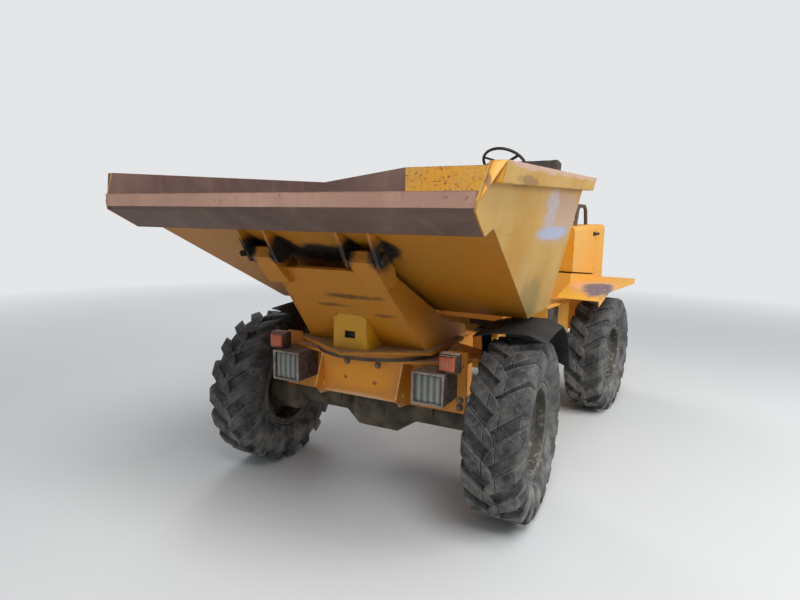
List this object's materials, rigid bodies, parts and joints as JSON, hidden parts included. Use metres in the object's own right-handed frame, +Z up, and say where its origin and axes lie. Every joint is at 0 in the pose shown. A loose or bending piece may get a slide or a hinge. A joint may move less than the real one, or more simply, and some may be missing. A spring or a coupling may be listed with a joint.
{
  "type": "site dumper",
  "caption": "Articulated four-wheel site dumper with a swivelling, forward-tipping skip, in worn yellow paint with bar-tread tyres and a seat on the rear bonnet.",
  "frame": {"origin": "middle of the footprint's bounding box, on the ground", "axes": "-Y is the front (skip lip), +X the machine's left, +Z up"},
  "size_m": [2.2038, 4.3244, 2.2199],
  "materials": {
    "yellow_paint": "faded and worn paint with rust",
    "dark_paint": "dull paint",
    "grey_paint": "dull paint",
    "bright_steel": "worn plating",
    "tyre_rubber": "dusty rubber",
    "lamp_body": "dull moulding",
    "lamp_lens": "clear lens",
    "amber_lens": "moulded lens",
    "red_lens": "moulded lens",
    "black_plastic": "dull moulding",
    "seat_vinyl": "worn vinyl"
  },
  "bodies": {
    "front_chassis": {"front_frame": "yellow_paint", "front_panel": "yellow_paint", "front_axle": "dark_paint", "slew_ring": "dark_paint", "headlamp_housings": "lamp_body", "headlamp_lenses": "lamp_lens", "indicators": "amber_lens", "front_mudguards": "dark_paint"},
    "swivel_frame": {"turntable": "yellow_paint", "yoke": "yellow_paint", "ram_pocket": "yellow_paint"},
    "tip_barrel": {"tip_ram_barrel": "dark_paint"},
    "tip_rod": {"tip_ram_rod": "bright_steel"},
    "skip": {"skip_bowl": "yellow_paint", "skip_lip": "yellow_paint", "skip_edges": "yellow_paint", "skip_brackets": "yellow_paint"},
    "hinge_casting": {"knuckle": "dark_paint"},
    "steer_barrel": {"steer_ram_barrel": "dark_paint"},
    "steer_rod": {"steer_ram_rod": "bright_steel"},
    "rear_chassis": {"rear_frame": "yellow_paint", "rear_axle": "dark_paint", "counterweight": "yellow_paint", "rear_lamps": "red_lens", "engine": "dark_paint", "tanks": "yellow_paint", "rear_deck": "yellow_paint", "rear_mudguards": "yellow_paint", "console": "yellow_paint", "steering_column": "dark_paint", "steering_wheel": "black_plastic", "levers": "bright_steel", "radiator_cowl": "yellow_paint"},
    "bonnet_lid": {"bonnet": "yellow_paint", "seat_base": "black_plastic", "seat_cushion": "seat_vinyl", "seat_back": "seat_vinyl", "hip_rails": "dark_paint"},
    "wheel_front_left": {"tyre_front_left": "tyre_rubber", "rim_front_left": "grey_paint"},
    "wheel_front_right": {"tyre_front_right": "tyre_rubber", "rim_front_right": "grey_paint"},
    "wheel_rear_left": {"tyre_rear_left": "tyre_rubber", "rim_rear_left": "grey_paint"},
    "wheel_rear_right": {"tyre_rear_right": "tyre_rubber", "rim_rear_right": "grey_paint"}
  },
  "joints": [
    {"name": "wheel_front_left", "type": "hinge", "parent": "front_chassis", "child": "wheel_front_left", "pos_m": [0.74796, -1.05724, 0.48441], "axis": [1, 0, 0], "continuous": true},
    {"name": "wheel_front_right", "type": "hinge", "parent": "front_chassis", "child": "wheel_front_right", "pos_m": [-0.88904, -1.05724, 0.48441], "axis": [1, 0, 0], "continuous": true},
    {"name": "wheel_rear_left", "type": "hinge", "parent": "rear_chassis", "child": "wheel_rear_left", "pos_m": [0.89035, 1.08057, 0.48441], "axis": [0.9912, -0.1323, 0], "continuous": true},
    {"name": "wheel_rear_right", "type": "hinge", "parent": "rear_chassis", "child": "wheel_rear_right", "pos_m": [-0.73227, 1.29707, 0.48441], "axis": [0.9912, -0.1323, 0], "continuous": true},
    {"name": "skip_swivel", "type": "hinge", "parent": "front_chassis", "child": "swivel_frame", "pos_m": [-0.07054, -1.05724, 0.85941], "axis": [0, 0, 1], "range_deg": [-90, 90]},
    {"name": "skip_tip", "type": "hinge", "parent": "swivel_frame", "child": "skip", "pos_m": [-0.07054, -1.77724, 1.41141], "axis": [1, 0, 0], "range_deg": [0, 68]},
    {"name": "tip_ram_turn", "type": "hinge", "parent": "swivel_frame", "child": "tip_barrel", "pos_m": [-0.07054, -1.38224, 0.96441], "axis": [1, 0, 0], "range_deg": [0, 70]},
    {"name": "tip_ram_slide", "type": "slide", "parent": "tip_barrel", "child": "tip_rod", "axis": [0, 0.998, 0.0631], "range_m": [0, 0.667]},
    {"name": "chassis_steer", "type": "hinge", "parent": "front_chassis", "child": "hinge_casting", "pos_m": [-0.07054, 0.06776, 0.55941], "axis": [0, 0, 1], "range_deg": [-25.4, 40.6]},
    {"name": "chassis_rock", "type": "hinge", "parent": "hinge_casting", "child": "rear_chassis", "pos_m": [-0.07054, 0.06776, 0.55941], "axis": [0.1323, 0.9912, 0], "range_deg": [-10, 10]},
    {"name": "steer_ram_turn", "type": "hinge", "parent": "front_chassis", "child": "steer_barrel", "pos_m": [-0.31054, -0.63724, 0.59741], "axis": [0, 0, 1], "range_deg": [-3, 2]},
    {"name": "steer_ram_slide", "type": "slide", "parent": "steer_barrel", "child": "steer_rod", "axis": [0.0549, 0.9985, 0], "range_m": [-0.134, 0.085]},
    {"name": "bonnet_lid", "type": "hinge", "parent": "rear_chassis", "child": "bonnet_lid", "pos_m": [0.14464, 1.68046, 1.60741], "axis": [0.9912, -0.1323, 0], "range_deg": [-55, 0]}
  ],
  "couplings": [
    {"joint": "tip_ram_turn", "follows": "skip_tip", "ratio": 1.0245},
    {"joint": "tip_ram_slide", "follows": "skip_tip", "m_per_rad": 0.5614},
    {"joint": "steer_ram_turn", "follows": "chassis_steer", "ratio": -0.057},
    {"joint": "steer_ram_slide", "follows": "chassis_steer", "m_per_rad": -0.1861}
  ]
}
